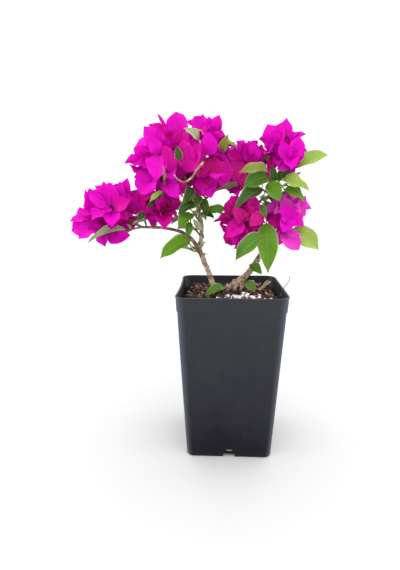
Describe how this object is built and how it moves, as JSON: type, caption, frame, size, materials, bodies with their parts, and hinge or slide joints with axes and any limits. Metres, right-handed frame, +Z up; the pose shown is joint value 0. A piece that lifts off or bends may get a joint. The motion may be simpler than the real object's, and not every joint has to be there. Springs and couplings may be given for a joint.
{
  "type": "potted bougainvillea",
  "caption": "Young bougainvillea bush with a forked woody stem, thin boughs, green leaves and clusters of papery magenta bracts, in a tall square nursery pot filled with potting mix.",
  "frame": {"origin": "middle of the pot's flat underside", "axes": "+Z up, -Y towards the front of the plant, +X to its right as seen from the front"},
  "size_m": [0.2285, 0.1133, 0.3107],
  "materials": {
    "pot": "moulded black plastic, satin, slightly dusty",
    "potting_mix": "damp bark chips with white grains",
    "bark": "rough tan bark",
    "green_wood": "young olive-green wood",
    "leaf": "soft satin leaf",
    "bract": "papery, matt"
  },
  "bodies": {
    "root": {"pot": "pot", "soil": "potting_mix", "stem_left": "bark", "stem_right": "bark", "bough_left": "bark", "bough_upper_left": "green_wood", "bough_back_left": "green_wood", "bough_middle": "green_wood", "bough_top_right": "green_wood", "bough_back_right": "green_wood", "bough_low_middle": "green_wood", "bough_low_right": "green_wood", "leaves_soil": "leaf", "leaves_fork": "leaf", "leaves_left_low": "leaf", "leaves_left_inner": "leaf", "leaves_left_high": "leaf", "leaves_middle": "leaf", "leaves_left_end": "leaf", "leaves_upper_left": "leaf", "leaves_upper_middle": "leaf", "leaves_right_inner": "leaf", "leaves_right_outer": "leaf", "leaves_right_middle": "leaf", "leaves_low_middle": "leaf", "leaves_low_left": "leaf", "leaves_low_right": "leaf", "leaves_back_left": "leaf", "leaves_back_right": "leaf", "leaves_stem_middle": "leaf", "leaves_stem_foot": "leaf", "blossom_left": "bract", "blossom_left_inner": "bract", "blossom_upper_left": "bract", "blossom_upper_middle": "bract", "blossom_middle": "bract", "blossom_inner": "bract", "blossom_back_left": "bract", "blossom_back_right": "bract", "blossom_top_right": "bract", "blossom_low_middle": "bract", "blossom_low_right": "bract", "blossom_lowest": "bract"}
  },
  "joints": []
}
